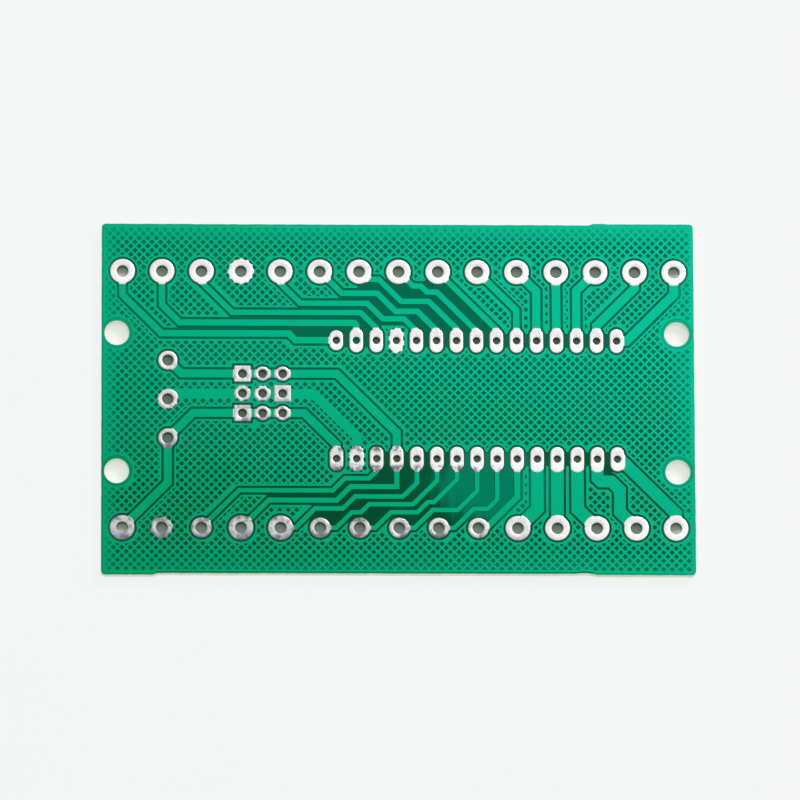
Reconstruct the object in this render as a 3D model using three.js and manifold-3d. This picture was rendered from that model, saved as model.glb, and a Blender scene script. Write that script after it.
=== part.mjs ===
// Bare printed-circuit adapter board for a two-row, thirty-pin microcontroller module.
//
// Every pin of the module socket runs on its own copper track to a terminal-strip pad
// along one of the two long edges. The board is built as it is manufactured: a
// glass-epoxy laminate drilled through, one separate copper conductor for each
// electrical net (pads on both faces, plated barrels in the holes, and the track that
// joins them), a flooded ground plane around the tracks, and a solder mask on each
// face that leaves the pads open.
//
// Units are millimetres. +Z is the side with the tracks, +X runs along the terminal
// strips, and +Y points from the lower strip to the upper one. The layout is drawn
// about the middle of the two terminal strips; the group at the end moves it so that
// the origin is the centre of the board's underside.

import * as THREE from "three";
import { mergeVertices } from "three/addons/utils/BufferGeometryUtils.js";
import Module from "manifold-3d";

// ---- driving dimensions -------------------------------------------------------------

const BOARD_LENGTH = 75.14;
const BOARD_HALF_WIDTH = 22.49; // between the break-off tabs
const BOARD_THICKNESS = 1.6;
const BOARD_CORNER = 0.5;
const LAYOUT_SHIFT = { x: 0.07, y: -0.135 }; // strip centre, from the board's centre

const MASK = 0.025; // solder mask over copper
const COPPER = 0.035; // one ounce copper foil
const CLEARANCE = 0.25; // copper to copper of another net
const EDGE_CLEARANCE = 0.2; // ground plane to the board's edge
const MASK_PULLBACK = 0.13; // mask opening beyond the pad
const PLATING = 0.05; // barrel wall, with its tin

const TERMINALS = 15;
const TERMINAL_PITCH = 5;
const TERMINAL_ROW_Y = 16.51;
const TERMINAL_PAD = 3.14;
const TERMINAL_PAD_SMALL = 2.6;
const TERMINAL_HOLE = 1.44;

const PINS = 15;
const PIN_PITCH = 2.54;
const PIN_ROW_Y = 7.62;
const PIN_ROW_CENTRE_X = 9.87;
const PIN_PAD_WIDTH = 1.72;
const PIN_PAD_LENGTH = 3.1;
const FIRST_PIN_PAD_LENGTH = 2.6;
const PIN_HOLE = 0.9;

const POWER_X = -29.24;
const POWER_PITCH = 5;
const POWER_PAD = 2.42;
const POWER_HOLE = 1.4;

const GRID_CENTRE = { x: -17.26, y: 0.75 };
const GRID_PAD = 1.86;
const GRID_SQUARE_PAD = 2.1;
const GRID_HOLE = 1.08;

const MOUNT_SPACING_X = 71;
const MOUNT_SPACING_Y = 17.78;
const MOUNT_CENTRE = { x: -0.2, y: -0.37 }; // in the layout
const MOUNT_HOLE = 3.15;
const MOUNT_CLEARANCE = 0.4; // ground plane to a mounting hole

const POWER_TRACK = 1.08;
const GROUND_TRACK = 1.18;
const NECK_HALF_HEIGHT = 0.88; // the plane stops this far from the pin rows' centres
const APRON = { width: 3.8, height: 3.9 }; // plane kept round the upper ground pin

// Facets round a circle. The pads on the track side carry more than the rest.
const PAD_SIDES = 10;
const PIN_END_SIDES = 3;
const BACK_PAD_SIDES = 6;
const DRILL_SIDES = 6;
const MOUNT_SIDES = 20;

// Heights, from the underside up.
const BACK_MASK_TOP = MASK + COPPER;
const FRONT_COPPER = BOARD_THICKNESS - MASK - COPPER;
const FRONT_MASK = BOARD_THICKNESS - MASK;

// ---- flat outlines ------------------------------------------------------------------

// A regular polygon with its corners on the circle.
function polygon(centre, diameter, sides) {
  const step = (2 * Math.PI) / sides;
  return Array.from({ length: sides }, (_, i) => [
    centre[0] + (diameter / 2) * Math.cos((i + 0.5) * step),
    centre[1] + (diameter / 2) * Math.sin((i + 0.5) * step),
  ]);
}

// A regular polygon with the area of the circle it stands for.
function circle(centre, diameter, sides) {
  const step = (2 * Math.PI) / sides;
  return polygon(centre, diameter * Math.sqrt(step / Math.sin(step)), sides);
}

function rectangle(centre, width, height) {
  const w = width / 2;
  const h = height / 2;
  return [
    [centre[0] - w, centre[1] - h],
    [centre[0] + w, centre[1] - h],
    [centre[0] + w, centre[1] + h],
    [centre[0] - w, centre[1] + h],
  ];
}

// An upright slot shape: straight sides and a round at each end.
function obround(centre, width, length, sidesPerEnd) {
  const reach = length / 2 - width / 2;
  const end = (from, sign) =>
    Array.from({ length: sidesPerEnd + 1 }, (_, i) => {
      const angle = from + (Math.PI * i) / sidesPerEnd;
      return [
        centre[0] + (width / 2) * Math.cos(angle),
        centre[1] + sign * reach + (width / 2) * Math.sin(angle),
      ];
    });
  return [...end(0, 1), ...end(Math.PI, -1)];
}

// The outline of a track of even width along a centre line, with mitred bends.
function ribbon(path, width) {
  const left = [];
  const right = [];
  path.forEach((point, i) => {
    const before = path[Math.max(i - 1, 0)];
    const after = path[Math.min(i + 1, path.length - 1)];
    const into = unit(i === 0 ? minus(after, point) : minus(point, before));
    const out = unit(i === path.length - 1 ? into : minus(after, point));
    const normal = unit([-(into[1] + out[1]), into[0] + out[0]]);
    const half = width / 2 / (normal[1] * into[0] - normal[0] * into[1]);
    left.push([point[0] + normal[0] * half, point[1] + normal[1] * half]);
    right.push([point[0] - normal[0] * half, point[1] - normal[1] * half]);
  });
  return [...right, ...left.reverse()];
}

function minus(a, b) {
  return [a[0] - b[0], a[1] - b[1]];
}

function unit(v) {
  const size = Math.hypot(v[0], v[1]);
  return [v[0] / size, v[1] / size];
}

// ---- solids -------------------------------------------------------------------------

const wasm = await Module();
wasm.setup();

// A three.js geometry as a solid that can be joined and cut.
function solidFrom(geometry) {
  geometry.deleteAttribute("normal");
  geometry.deleteAttribute("uv");
  const merged = mergeVertices(geometry, 1e-5);
  return new wasm.Manifold(
    new wasm.Mesh({
      numProp: 3,
      vertProperties: merged.attributes.position.array,
      triVerts: new Uint32Array(merged.index.array),
    }),
  );
}

// The outline's real corners: a point in line with its neighbours would split a wall
// but not the faces above and below it.
const IN_LINE = 1e-7;

function corners(outline) {
  return outline.filter((point, i) => {
    const into = minus(point, outline.at(i - 1));
    const out = minus(outline[(i + 1) % outline.length], point);
    return Math.abs(into[0] * out[1] - into[1] * out[0]) > IN_LINE;
  });
}

// A flat outline raised from one height to another.
function slab(outline, bottom, top) {
  const points = corners(outline).map(([x, y]) => new THREE.Vector2(x, y));
  const shape = new THREE.Shape(points);
  const geometry = new THREE.ExtrudeGeometry(shape, {
    depth: top - bottom,
    bevelEnabled: false,
  });
  geometry.translate(0, 0, bottom);
  return solidFrom(geometry);
}

function joined(solids) {
  return solids.reduce((whole, solid) => whole.add(solid));
}

function cut(body, tools) {
  return tools.length ? body.subtract(joined(tools)) : body;
}

// ---- pads ---------------------------------------------------------------------------

// A pad knows its centre, its finished hole, its outlines on the track side and on the
// back, each grown by any margin, and the outline that keeps other copper away.
function roundPad(centre, diameter, hole) {
  const outline = (grow) => circle(centre, diameter + 2 * grow, PAD_SIDES);
  const back = (grow) => circle(centre, diameter + 2 * grow, BACK_PAD_SIDES);
  const keepOut = polygon(centre, diameter + 2 * CLEARANCE, PAD_SIDES);
  return { centre, hole, outline, back, keepOut };
}

function squarePad(centre, size, hole) {
  const outline = (grow) => rectangle(centre, size + 2 * grow, size + 2 * grow);
  return { centre, hole, outline, back: outline, keepOut: outline(CLEARANCE) };
}

function pinPad(centre, length) {
  const outline = (grow) =>
    obround(centre, PIN_PAD_WIDTH + 2 * grow, length + 2 * grow, PIN_END_SIDES);
  const back = (grow) => circle(centre, PIN_PAD_WIDTH + 2 * grow, BACK_PAD_SIDES);
  return { centre, hole: PIN_HOLE, outline, back, keepOut: outline(CLEARANCE) };
}

const SMALL_LOWER_TERMINALS = [2, 3, 6, 7, 8, 9, 10];

// Terminal pads count from 1 at the left: T along the upper edge, B along the lower.
function terminalPad(number, row) {
  const x = (number - (TERMINALS + 1) / 2) * TERMINAL_PITCH;
  const small = row < 0 && SMALL_LOWER_TERMINALS.includes(number);
  const size = small ? TERMINAL_PAD_SMALL : TERMINAL_PAD;
  return roundPad([x, row * TERMINAL_ROW_Y], size, TERMINAL_HOLE);
}

function socketPad(number, row) {
  const x = PIN_ROW_CENTRE_X + (number - (PINS + 1) / 2) * PIN_PITCH;
  const short = row > 0 && number === 1;
  return pinPad([x, row * PIN_ROW_Y], short ? FIRST_PIN_PAD_LENGTH : PIN_PAD_LENGTH);
}

function powerPad(number) {
  return roundPad([POWER_X, (2 - number) * POWER_PITCH], POWER_PAD, POWER_HOLE);
}

// One row of the three-by-three header: one of its pads is square, to mark the row.
function gridRow(row, squareColumn) {
  return [1, 2, 3].map((column) => {
    const x = GRID_CENTRE.x + (column - 2) * PIN_PITCH;
    const y = GRID_CENTRE.y + (2 - row) * PIN_PITCH;
    return column === squareColumn
      ? squarePad([x, y], GRID_SQUARE_PAD, GRID_HOLE)
      : roundPad([x, y], GRID_PAD, GRID_HOLE);
  });
}

const T = (number) => terminalPad(number, 1);
const B = (number) => terminalPad(number, -1);
const I = (number) => socketPad(number, 1);
const J = (number) => socketPad(number, -1);

// ---- tracks -------------------------------------------------------------------------

// A track is walked from a pad in straight and 45 degree steps: across to an x, along
// to a y, down a line falling to the right, or up a line rising to the right.
const toX = (x) => ([, y]) => [x, y];
const toY = (y) => ([x]) => [x, y];
const fallToX = (x) => ([px, py]) => [x, py - (x - px)];
const fallToY = (y) => ([px, py]) => [px + (py - y), y];
const riseToX = (x) => ([px, py]) => [x, py + (x - px)];
const riseToY = (y) => ([px, py]) => [px + (y - py), y];

function walk(from, steps, to) {
  const path = [from.centre];
  for (const step of steps) path.push(step(path[path.length - 1]));
  path.push(to.centre);
  return path;
}

function track(from, steps, to, width) {
  return { path: walk(from, steps, to), width };
}

// A net that only joins one terminal to one socket pin.
function signal(name, terminal, steps, pin, width) {
  return {
    name,
    pads: [terminal, pin],
    tracks: [track(terminal, steps, pin, width)],
  };
}

const pinX = (number) => I(number).centre[0];

const upperSignals = [
  signal(
    "signal_tx",
    T(1),
    [toY(13.42), fallToY(8.47), toX(-13.93), fallToY(PIN_ROW_Y)],
    I(1),
    0.9,
  ),
  signal(
    "signal_rx",
    T(2),
    [toY(12.13), fallToY(9.88), toX(-5.65), fallToX(pinX(2))],
    I(2),
    0.85,
  ),
  signal(
    "signal_reset_upper",
    T(3),
    [toY(15.1), fallToY(11.2), toX(-4.82), fallToX(pinX(3))],
    I(3),
    0.75,
  ),
  signal(
    "signal_d2",
    T(5),
    [toY(14.95), fallToY(12.4), toX(-3.97), fallToY(10.42), toX(0.69), fallToX(pinX(5))],
    I(5),
    0.75,
  ),
  signal(
    "signal_d3",
    T(6),
    [fallToY(13.71), toX(-2.7), fallToY(11.38), toX(2.4), fallToX(pinX(6))],
    I(6),
    0.78,
  ),
  signal(
    "signal_d4",
    T(7),
    [toY(15.52), toX(-2.5), fallToY(12.68), toX(3.84), fallToX(pinX(7))],
    I(7),
    0.75,
  ),
  signal(
    "signal_d5",
    T(8),
    [fallToY(14.67), toX(2.83), fallToY(13.9), toX(4.86), fallToX(pinX(8))],
    I(8),
    0.75,
  ),
  signal("signal_d6", T(9), [fallToX(pinX(9))], I(9), 0.75),
  signal("signal_d7", T(10), [fallToX(pinX(10))], I(10), 0.87),
  signal("signal_d8", T(11), [fallToX(pinX(11))], I(11), 1.1),
  signal("signal_d9", T(12), [], I(12), 1.15),
  signal("signal_d10", T(13), [riseToX(pinX(13))], I(13), 1.1),
  signal("signal_d11", T(14), [toY(14.45), riseToX(pinX(14))], I(14), 1.15),
  signal("signal_d12", T(15), [toY(13.68), riseToY(PIN_ROW_Y)], I(15), 1.2),
];

const lowerSignals = [
  signal(
    "signal_reset_lower",
    B(3),
    [riseToY(-11.72), toX(-8.4), riseToY(-10.16), toX(-3.8), riseToX(pinX(3))],
    J(3),
    0.62,
  ),
  signal(
    "signal_a7",
    B(5),
    [
      toX(-13.1),
      riseToY(-14.03),
      toX(-7.1),
      riseToY(-12.48),
      toX(0.49),
      riseToX(pinX(5)),
    ],
    J(5),
    0.62,
  ),
  signal(
    "signal_a6",
    B(6),
    [
      toX(-7.97),
      riseToY(-14.53),
      toX(-4.84),
      riseToY(-13.48),
      toX(1.75),
      riseToX(pinX(6)),
    ],
    J(6),
    0.6,
  ),
  signal(
    "signal_a5",
    B(7),
    [toX(-3.06), riseToY(-14.51), toX(2.29), riseToY(-13.2), toX(4.4), riseToX(pinX(7))],
    J(7),
    0.6,
  ),
  signal(
    "signal_a4",
    B(8),
    [toX(1.94), riseToY(-14.2), toX(7.4), riseToX(pinX(8))],
    J(8),
    0.62,
  ),
  signal(
    "signal_a3",
    B(9),
    [toX(6.95), riseToY(-14.04), toX(11.2), riseToX(pinX(9))],
    J(9),
    0.6,
  ),
  signal("signal_a2", B(10), [toX(10.95), riseToX(pinX(10))], J(10), 0.82),
  signal("signal_a1", B(11), [riseToX(pinX(11))], J(11), 1.65),
  signal("signal_a0", B(12), [], J(12), 1.65),
  signal("signal_aref", B(13), [fallToX(pinX(13))], J(13), 1.65),
  signal(
    "supply_3v3",
    B(14),
    [fallToX(27.92), toY(-11.57), fallToY(-10.49), toX(25.5), fallToX(pinX(14))],
    J(14),
    1.55,
  ),
  signal("signal_d13", B(15), [toY(-14.6), fallToY(-PIN_ROW_Y)], J(15), 1.55),
];

const FIVE_VOLT_ROW = gridRow(1, 1);
const GROUND_ROW = gridRow(2, 3);
const INPUT_ROW = gridRow(3, 1);

const inputSupply = {
  name: "supply_vin",
  pads: [B(1), powerPad(3), J(1), ...INPUT_ROW],
  tracks: [
    track(B(1), [riseToX(POWER_X)], powerPad(3), POWER_TRACK),
    track(
      powerPad(3),
      [riseToY(GRID_CENTRE.y - PIN_PITCH), toX(-12), fallToX(pinX(1))],
      J(1),
      POWER_TRACK,
    ),
  ],
};

const fiveVoltSupply = {
  name: "supply_5v",
  pads: [powerPad(1), J(4), B(4), ...FIVE_VOLT_ROW],
  tracks: [
    track(
      powerPad(1),
      [fallToY(GRID_CENTRE.y + PIN_PITCH), toX(-7.86), fallToX(pinX(4))],
      J(4),
      POWER_TRACK,
    ),
    track(
      B(4),
      [riseToY(-12.98), toX(-7.89), riseToY(-11.22), toX(pinX(4))],
      J(4),
      0.69,
    ),
  ],
};

const tracedNets = [...upperSignals, ...lowerSignals, inputSupply, fiveVoltSupply];

const groundPads = [T(4), I(4), B(2), J(2), powerPad(2), ...GROUND_ROW];
const groundTrack = ribbon(
  [
    [POWER_X, GRID_CENTRE.y],
    [-10.9, GRID_CENTRE.y],
    [pinX(2), GRID_CENTRE.y - (pinX(2) + 10.9)],
    J(2).centre,
  ],
  GROUND_TRACK,
);

const everyPad = [...tracedNets.flatMap((net) => net.pads), ...groundPads];

// ---- laminate and holes -------------------------------------------------------------

const boardCentre = [-LAYOUT_SHIFT.x, -LAYOUT_SHIFT.y];

// The long edges step out a little beyond the break-off tabs near their ends, and the
// upper right tab has left a small nub.
const LEFT_TAB_X = -25.5;
const RIGHT_TAB_X = 26.3;
const NUB_WIDTH = 1.5;
const edgeSteps = {
  upper: { left: 0.02, right: 0.15, nub: 0.2 },
  lower: { left: 0.2, right: 0.14, nick: 0.1 },
};

function boardOutline(inset) {
  const x = BOARD_LENGTH / 2 - inset;
  const y = BOARD_HALF_WIDTH - inset;
  const r = BOARD_CORNER - inset;
  const upper = edgeSteps.upper;
  const lower = edgeSteps.lower;
  const corner = (cx, cy, from) =>
    [0, 1, 2, 3].map((i) => [
      cx + r * Math.cos(from + (i * Math.PI) / 6),
      cy + r * Math.sin(from + (i * Math.PI) / 6),
    ]);
  const outline = [
    ...corner(x - r, y + upper.right - r, 0),
    [RIGHT_TAB_X + 0.3, y + upper.right],
    [RIGHT_TAB_X, y + upper.nub],
    [RIGHT_TAB_X - NUB_WIDTH, y + upper.nub],
    [RIGHT_TAB_X - NUB_WIDTH - 0.4, y],
    [LEFT_TAB_X, y],
    [LEFT_TAB_X - 0.6, y + upper.left],
    ...corner(-x + r, y + upper.left - r, Math.PI / 2),
    ...corner(-x + r, -y - lower.left + r, Math.PI),
    [LEFT_TAB_X - 5.6, -y - lower.left],
    [LEFT_TAB_X - 5, -y],
    [RIGHT_TAB_X - 4, -y],
    [RIGHT_TAB_X - 3.4, -y + lower.nick],
    [RIGHT_TAB_X - 2.4, -y + lower.nick],
    [RIGHT_TAB_X - 1.2, -y - lower.right],
    ...corner(x - r, -y - lower.right + r, 1.5 * Math.PI),
  ];
  return outline.map(([px, py]) => [px + boardCentre[0], py + boardCentre[1]]);
}

const mountCentres = [-1, 1].flatMap((side) =>
  [-1, 1].map((end) => [
    MOUNT_CENTRE.x + (side * MOUNT_SPACING_X) / 2,
    MOUNT_CENTRE.y + (end * MOUNT_SPACING_Y) / 2,
  ]),
);

function mountHoles(grow, bottom, top) {
  return mountCentres.map((centre) =>
    slab(circle(centre, MOUNT_HOLE + 2 * grow, MOUNT_SIDES), bottom, top),
  );
}

function drilled(pad, diameter, bottom, top) {
  return slab(circle(pad.centre, diameter, DRILL_SIDES), bottom, top);
}

const drillSize = (pad) => pad.hole + 2 * PLATING;

function laminate() {
  const plate = slab(boardOutline(0), BACK_MASK_TOP, FRONT_COPPER);
  const holes = everyPad.map((pad) =>
    drilled(pad, drillSize(pad), BACK_MASK_TOP, FRONT_COPPER),
  );
  return cut(plate, [...holes, ...mountHoles(0, BACK_MASK_TOP, FRONT_COPPER)]);
}

// ---- conductors ---------------------------------------------------------------------

// Pads on both faces, tinned up to the outside of the mask, and the barrel between.
function throughPad(pad) {
  const back = slab(pad.back(0), 0, BACK_MASK_TOP);
  const barrel = drilled(pad, drillSize(pad), BACK_MASK_TOP, FRONT_COPPER);
  const front = slab(pad.outline(0), FRONT_COPPER, BOARD_THICKNESS);
  return joined([back, barrel, front]);
}

function finishedHoles(pads) {
  return pads.map((pad) => drilled(pad, pad.hole, 0, BOARD_THICKNESS));
}

function conductor(net) {
  const tracks = net.tracks.map(({ path, width }) =>
    slab(ribbon(path, width), FRONT_COPPER, FRONT_MASK),
  );
  const body = joined([...net.pads.map(throughPad), ...tracks]);
  return cut(body, finishedHoles(net.pads));
}

// The part of a track that lies to the right of an x, entering on that x.
function rightOf(path, x) {
  const next = path.findIndex((point) => point[0] > x);
  if (next === 0) return path;
  const a = path[next - 1];
  const b = path[next];
  const share = (x - a[0]) / (b[0] - a[0]);
  return [[x, a[1] + share * (b[1] - a[1])], ...path.slice(next)];
}

// Between two neighbouring tracks the ground plane can't reach, or would be too thin
// to etch, so the gap is left bare from an x on each track to the socket pins.
function bareGap(netA, fromA, netB, fromB) {
  const a = rightOf(pathOf(netA), fromA);
  const b = rightOf(pathOf(netB), fromB);
  return slab([...a, ...b.toReversed()], FRONT_COPPER, FRONT_MASK);
}

function pathOf(name) {
  const net = tracedNets.find((candidate) => candidate.name === name);
  return net.tracks[net.tracks.length - 1].path;
}

const bareGaps = () => [
  bareGap("signal_tx", -28.4, "signal_rx", -27.6),
  bareGap("signal_rx", -21.2, "signal_reset_upper", -21.2),
  bareGap("signal_reset_upper", -12.7, "signal_d2", -12.7),
  bareGap("signal_d2", -7.6, "signal_d3", -7.6),
  bareGap("signal_d3", -5.3, "signal_d4", -5.3),
  bareGap("signal_d4", -2.1, "signal_d5", -0.1),
  bareGap("signal_d5", 2.4, "signal_d6", 4.9),
  bareGap("signal_reset_lower", -16.8, "supply_5v", -16.8),
  bareGap("supply_5v", -11.1, "signal_a7", -11.1),
  bareGap("signal_a7", -11.8, "signal_a6", -10.1),
  bareGap("signal_a6", -6.7, "signal_a5", -5.1),
  bareGap("signal_a5", -1.7, "signal_a4", -0.1),
  bareGap("signal_a4", 3.3, "signal_a3", 4.9),
  bareGap("signal_a3", 8.3, "signal_a2", 9.9),
];

// The plane also stops short between neighbouring socket pads, except beside the two
// ground pins.
function pinNecks() {
  const band = (from, to, row) => {
    const left = pinX(from);
    const right = pinX(to);
    const outline = rectangle(
      [(left + right) / 2, row * PIN_ROW_Y],
      right - left,
      2 * NECK_HALF_HEIGHT,
    );
    return slab(outline, FRONT_COPPER, FRONT_MASK);
  };
  const cornerPocket = slab(
    rectangle([(pinX(14) + pinX(15)) / 2, -9], PIN_PITCH / 2, 1.6),
    FRONT_COPPER,
    FRONT_MASK,
  );
  return [
    band(1, 3, 1),
    band(5, PINS, 1),
    band(3, PINS, -1),
    cornerPocket,
  ];
}

// Everything the plane leaves bare apart from its clearances.
function bareAreas() {
  const apron = slab(
    rectangle(I(4).centre, APRON.width, APRON.height),
    FRONT_COPPER,
    FRONT_MASK,
  );
  return cut(joined([...bareGaps(), ...pinNecks()]), [apron]);
}

// The flooded ground plane with its own pads, as one conductor.
function ground() {
  const sheet = slab(boardOutline(EDGE_CLEARANCE), FRONT_COPPER, FRONT_MASK);
  const layer = (outline) => slab(outline, FRONT_COPPER, FRONT_MASK);
  const foreign = tracedNets.flatMap((net) => [
    ...net.pads.map((pad) => layer(pad.keepOut)),
    ...net.tracks.map(({ path, width }) => layer(ribbon(path, width + 2 * CLEARANCE))),
  ]);
  const mounts = mountHoles(MOUNT_CLEARANCE, FRONT_COPPER, FRONT_MASK);
  const plane = cut(sheet, [...foreign, ...mounts, bareAreas()]);
  const body = joined([plane, layer(groundTrack), ...groundPads.map(throughPad)]);
  return cut(body, finishedHoles(groundPads));
}

// ---- solder mask --------------------------------------------------------------------

function solderMask(bottom, top, padOutline) {
  const openings = everyPad.map((pad) =>
    slab(padOutline(pad)(MASK_PULLBACK), bottom, top),
  );
  return cut(slab(boardOutline(0), bottom, top), [
    ...openings,
    ...mountHoles(0, bottom, top),
  ]);
}

const frontMask = solderMask(FRONT_MASK, BOARD_THICKNESS, (pad) => pad.outline);
const backMask = solderMask(0, BACK_MASK_TOP, (pad) => pad.back);

// ---- scene --------------------------------------------------------------------------

const LAMINATE = new THREE.MeshStandardMaterial({
  color: "#9a9a5e",
  roughness: 0.7,
  metalness: 0,
});
const FRONT_GREEN = new THREE.MeshStandardMaterial({
  color: "#00b487",
  roughness: 0.35,
  metalness: 0,
});
const BACK_GREEN = new THREE.MeshStandardMaterial({
  color: "#006a50",
  roughness: 0.35,
  metalness: 0,
});
const TIN = new THREE.MeshStandardMaterial({
  color: "#dcdcdf",
  roughness: 0.32,
  metalness: 1,
});

const board = new THREE.Group();
board.position.set(LAYOUT_SHIFT.x, LAYOUT_SHIFT.y, 0);

function place(name, solid, material) {
  const { vertProperties, triVerts } = solid.getMesh();
  const geometry = new THREE.BufferGeometry();
  geometry.setAttribute("position", new THREE.BufferAttribute(vertProperties, 3));
  geometry.setIndex(new THREE.BufferAttribute(triVerts, 1));
  geometry.computeVertexNormals();
  const mesh = new THREE.Mesh(geometry, material);
  mesh.name = name;
  board.add(mesh);
}

place("fr4_laminate", laminate(), LAMINATE);
place("solder_mask_front", frontMask, FRONT_GREEN);
place("solder_mask_back", backMask, BACK_GREEN);
place("ground_plane", ground(), TIN);
for (const net of tracedNets) place(net.name, conductor(net), TIN);

const group = new THREE.Group();
group.add(board);

export default group;
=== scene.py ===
"""Looks for the bare terminal adapter board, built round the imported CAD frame.

Lengths are millimetres in this script and are turned into metres when a mesh is made.
Every pad, hole, track and outline is read from the CAD nodes. What is added here is the
fine surface: round pads with their tin, the hatch in the ground plane, and the solder
mask that follows the copper up and down.
"""
import heapq
import math

import bmesh
import bpy
import numpy as np
from mathutils import Euler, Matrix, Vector, geometry


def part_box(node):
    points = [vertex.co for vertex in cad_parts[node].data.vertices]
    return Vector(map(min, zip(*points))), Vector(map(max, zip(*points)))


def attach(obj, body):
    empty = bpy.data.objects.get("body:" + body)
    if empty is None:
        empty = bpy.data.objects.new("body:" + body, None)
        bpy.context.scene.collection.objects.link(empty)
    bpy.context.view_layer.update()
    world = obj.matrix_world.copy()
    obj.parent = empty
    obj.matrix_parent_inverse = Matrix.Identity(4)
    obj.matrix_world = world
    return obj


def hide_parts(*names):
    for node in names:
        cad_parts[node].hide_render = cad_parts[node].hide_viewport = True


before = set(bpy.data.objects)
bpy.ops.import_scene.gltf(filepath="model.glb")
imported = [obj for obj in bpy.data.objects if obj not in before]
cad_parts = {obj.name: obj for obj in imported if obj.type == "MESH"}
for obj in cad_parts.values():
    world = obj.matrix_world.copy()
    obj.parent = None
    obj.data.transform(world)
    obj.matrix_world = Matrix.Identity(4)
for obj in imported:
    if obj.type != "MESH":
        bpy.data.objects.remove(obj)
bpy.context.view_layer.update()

MM = 0.001  # metres

# ---- driving dimensions, mm ------------------------------------------------------------

HATCH_PITCH = 0.762
HATCH_LINE = 0.305
HATCH_START = (0.17, -0.097)  # a line of each family, measured along the diagonals
HATCH_BORDER = 0.29  # unbroken copper along every edge of the plane
MOUNT_BORDER = 0.1  # the same round a mounting hole
NARROWEST_CELL = 0.14
CELL_CORNER = 0.06  # how far in the etch rounds a window's corners
HATCH_REACH = 60  # how far the lines run each way, beyond the board's corners
GROUND_BAND = 1.24  # width of the solid track inside the hatched plane
GROUND_BEND = -10.83  # where that track turns downwards

CLEARANCE = 0.25  # plane to another net's pad
MOUNT_KEEPOUT = 0.4  # plane to a mounting hole
PLATING = 0.05  # barrel wall
SQUARENESS = 26  # the power that a square pad's outline follows
CROWN = 0.012  # how far the tin stands above the mask
UNDER_TIN = 0.05  # how far a track runs in under its pad's tin

PULLBACK = 0.13  # mask opening beyond the pad
SQUARE_PULLBACK = 0.04  # the same round the plane's own square pad
TIN_GAP = 0.004  # keeps tin that runs up to the mask from touching it
FILM_GAP = 0.002  # keeps the foil from touching the mask above it
MASK_INSET = 0.01  # mask to the board's edge
SLOPE_IN = 0.035  # where the mask starts to fall, inside the copper's edge
SLOPE_OUT = 0.06  # where it has come down, outside that edge
PLUG_DEPTH = 0.7  # from the mask's top to the underside of the plug that closes one hole
PLUG_DISH = ((0.96, 0.2), (0.7, 0.27), (0.35, 0.3))  # share of the hole's radius, dip

EDGE_ROUGHNESS = 0.018
EDGE_STEP = 0.3  # spacing of points along the sawn edge
EDGE_CHAMFER = 0.02

SQUARE_CORNERS = ((1, 1), (-1, 1), (-1, -1), (1, -1))
ARC_STEP = 0.12  # spacing of points round a pad
HOLE_POINTS = 36
MOUNT_POINTS = 72
NEAR = 1e-3
FAR = 100.0  # well outside the board


def heights(node):
    low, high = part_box(node)
    return low.z / MM, high.z / MM


COPPER_TOP, TOP = heights("solder_mask_front")
BOARD_BOTTOM, BOARD_TOP = heights("fr4_laminate")
MASK_LOW = TOP - (COPPER_TOP - BOARD_TOP)
FOIL_TOP = COPPER_TOP - FILM_GAP

CONDUCTORS = [
    name
    for name in sorted(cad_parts)
    if name.startswith(("signal_", "supply_")) or name == "ground_plane"
]

# ---- flat outlines ---------------------------------------------------------------------


def area(loop):
    x, y = loop[:, 0], loop[:, 1]
    return 0.5 * float(np.dot(x, np.roll(y, -1)) - np.dot(np.roll(x, -1), y))


def at_height(points, height):
    return np.column_stack([points, np.full(len(points), height)])


def unit(v):
    return v / np.maximum(np.linalg.norm(v, axis=-1, keepdims=True), 1e-12)


def turned_left(v):
    return np.stack([-v[..., 1], v[..., 0]], axis=-1)


def corners(loop):
    """The outline without the points that lie on a straight run."""
    into = loop - np.roll(loop, 1, axis=0)
    out = np.roll(loop, -1, axis=0) - loop
    bend = into[:, 0] * out[:, 1] - into[:, 1] * out[:, 0]
    scale = np.linalg.norm(into, axis=1) * np.linalg.norm(out, axis=1)
    return loop[np.abs(bend) > 1e-3 * scale]


def shifted(loop, distance):
    """The outline moved to its own left, with mitred corners."""
    before = turned_left(unit(loop - np.roll(loop, 1, axis=0)))
    after = turned_left(unit(np.roll(loop, -1, axis=0) - loop))
    mitre = unit(before + after)
    stretch = 1 / np.maximum((mitre * before).sum(axis=1, keepdims=True), 0.4)
    return loop + distance * stretch * mitre


def chained(steps):
    """Directed edges (from, to) as closed lists of vertices."""
    following = {}
    for a, b in steps:
        following.setdefault(a, []).append(b)
    loops = []
    while following:
        start = next(iter(following))
        path = [start]
        while True:
            here = path[-1]
            onward = following[here].pop()
            if not following[here]:
                del following[here]
            if onward == start or onward not in following:
                break
            path.append(onward)
        loops.append(path)
    return loops


def outlines_at(node, height):
    """Outlines of a CAD node's upward faces at a height; holes run clockwise."""
    bm = bmesh.new()
    bm.from_mesh(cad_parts[node].data)
    bmesh.ops.remove_doubles(bm, verts=bm.verts, dist=1e-7)
    bm.verts.index_update()
    bm.verts.ensure_lookup_table()
    level = height * MM
    flat = {
        f
        for f in bm.faces
        if f.normal.z > 0.9 and abs(f.calc_center_median().z - level) < NEAR * MM
    }
    steps = [
        (corner.vert.index, corner.link_loop_next.vert.index)
        for f in flat
        for corner in f.loops
        if not any(other in flat for other in corner.edge.link_faces if other is not f)
    ]
    steps.sort()
    found = []
    for path in chained(steps):
        points = np.array([bm.verts[i].co[:2] for i in path], float) / MM
        found.append(corners(points))
    bm.free()
    return [loop for loop in found if len(loop) > 2]


def ring(centre, radius, count):
    angle = np.arange(count) * 2 * math.pi / count
    return centre + radius * np.stack([np.cos(angle), np.sin(angle)], axis=1)


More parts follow.
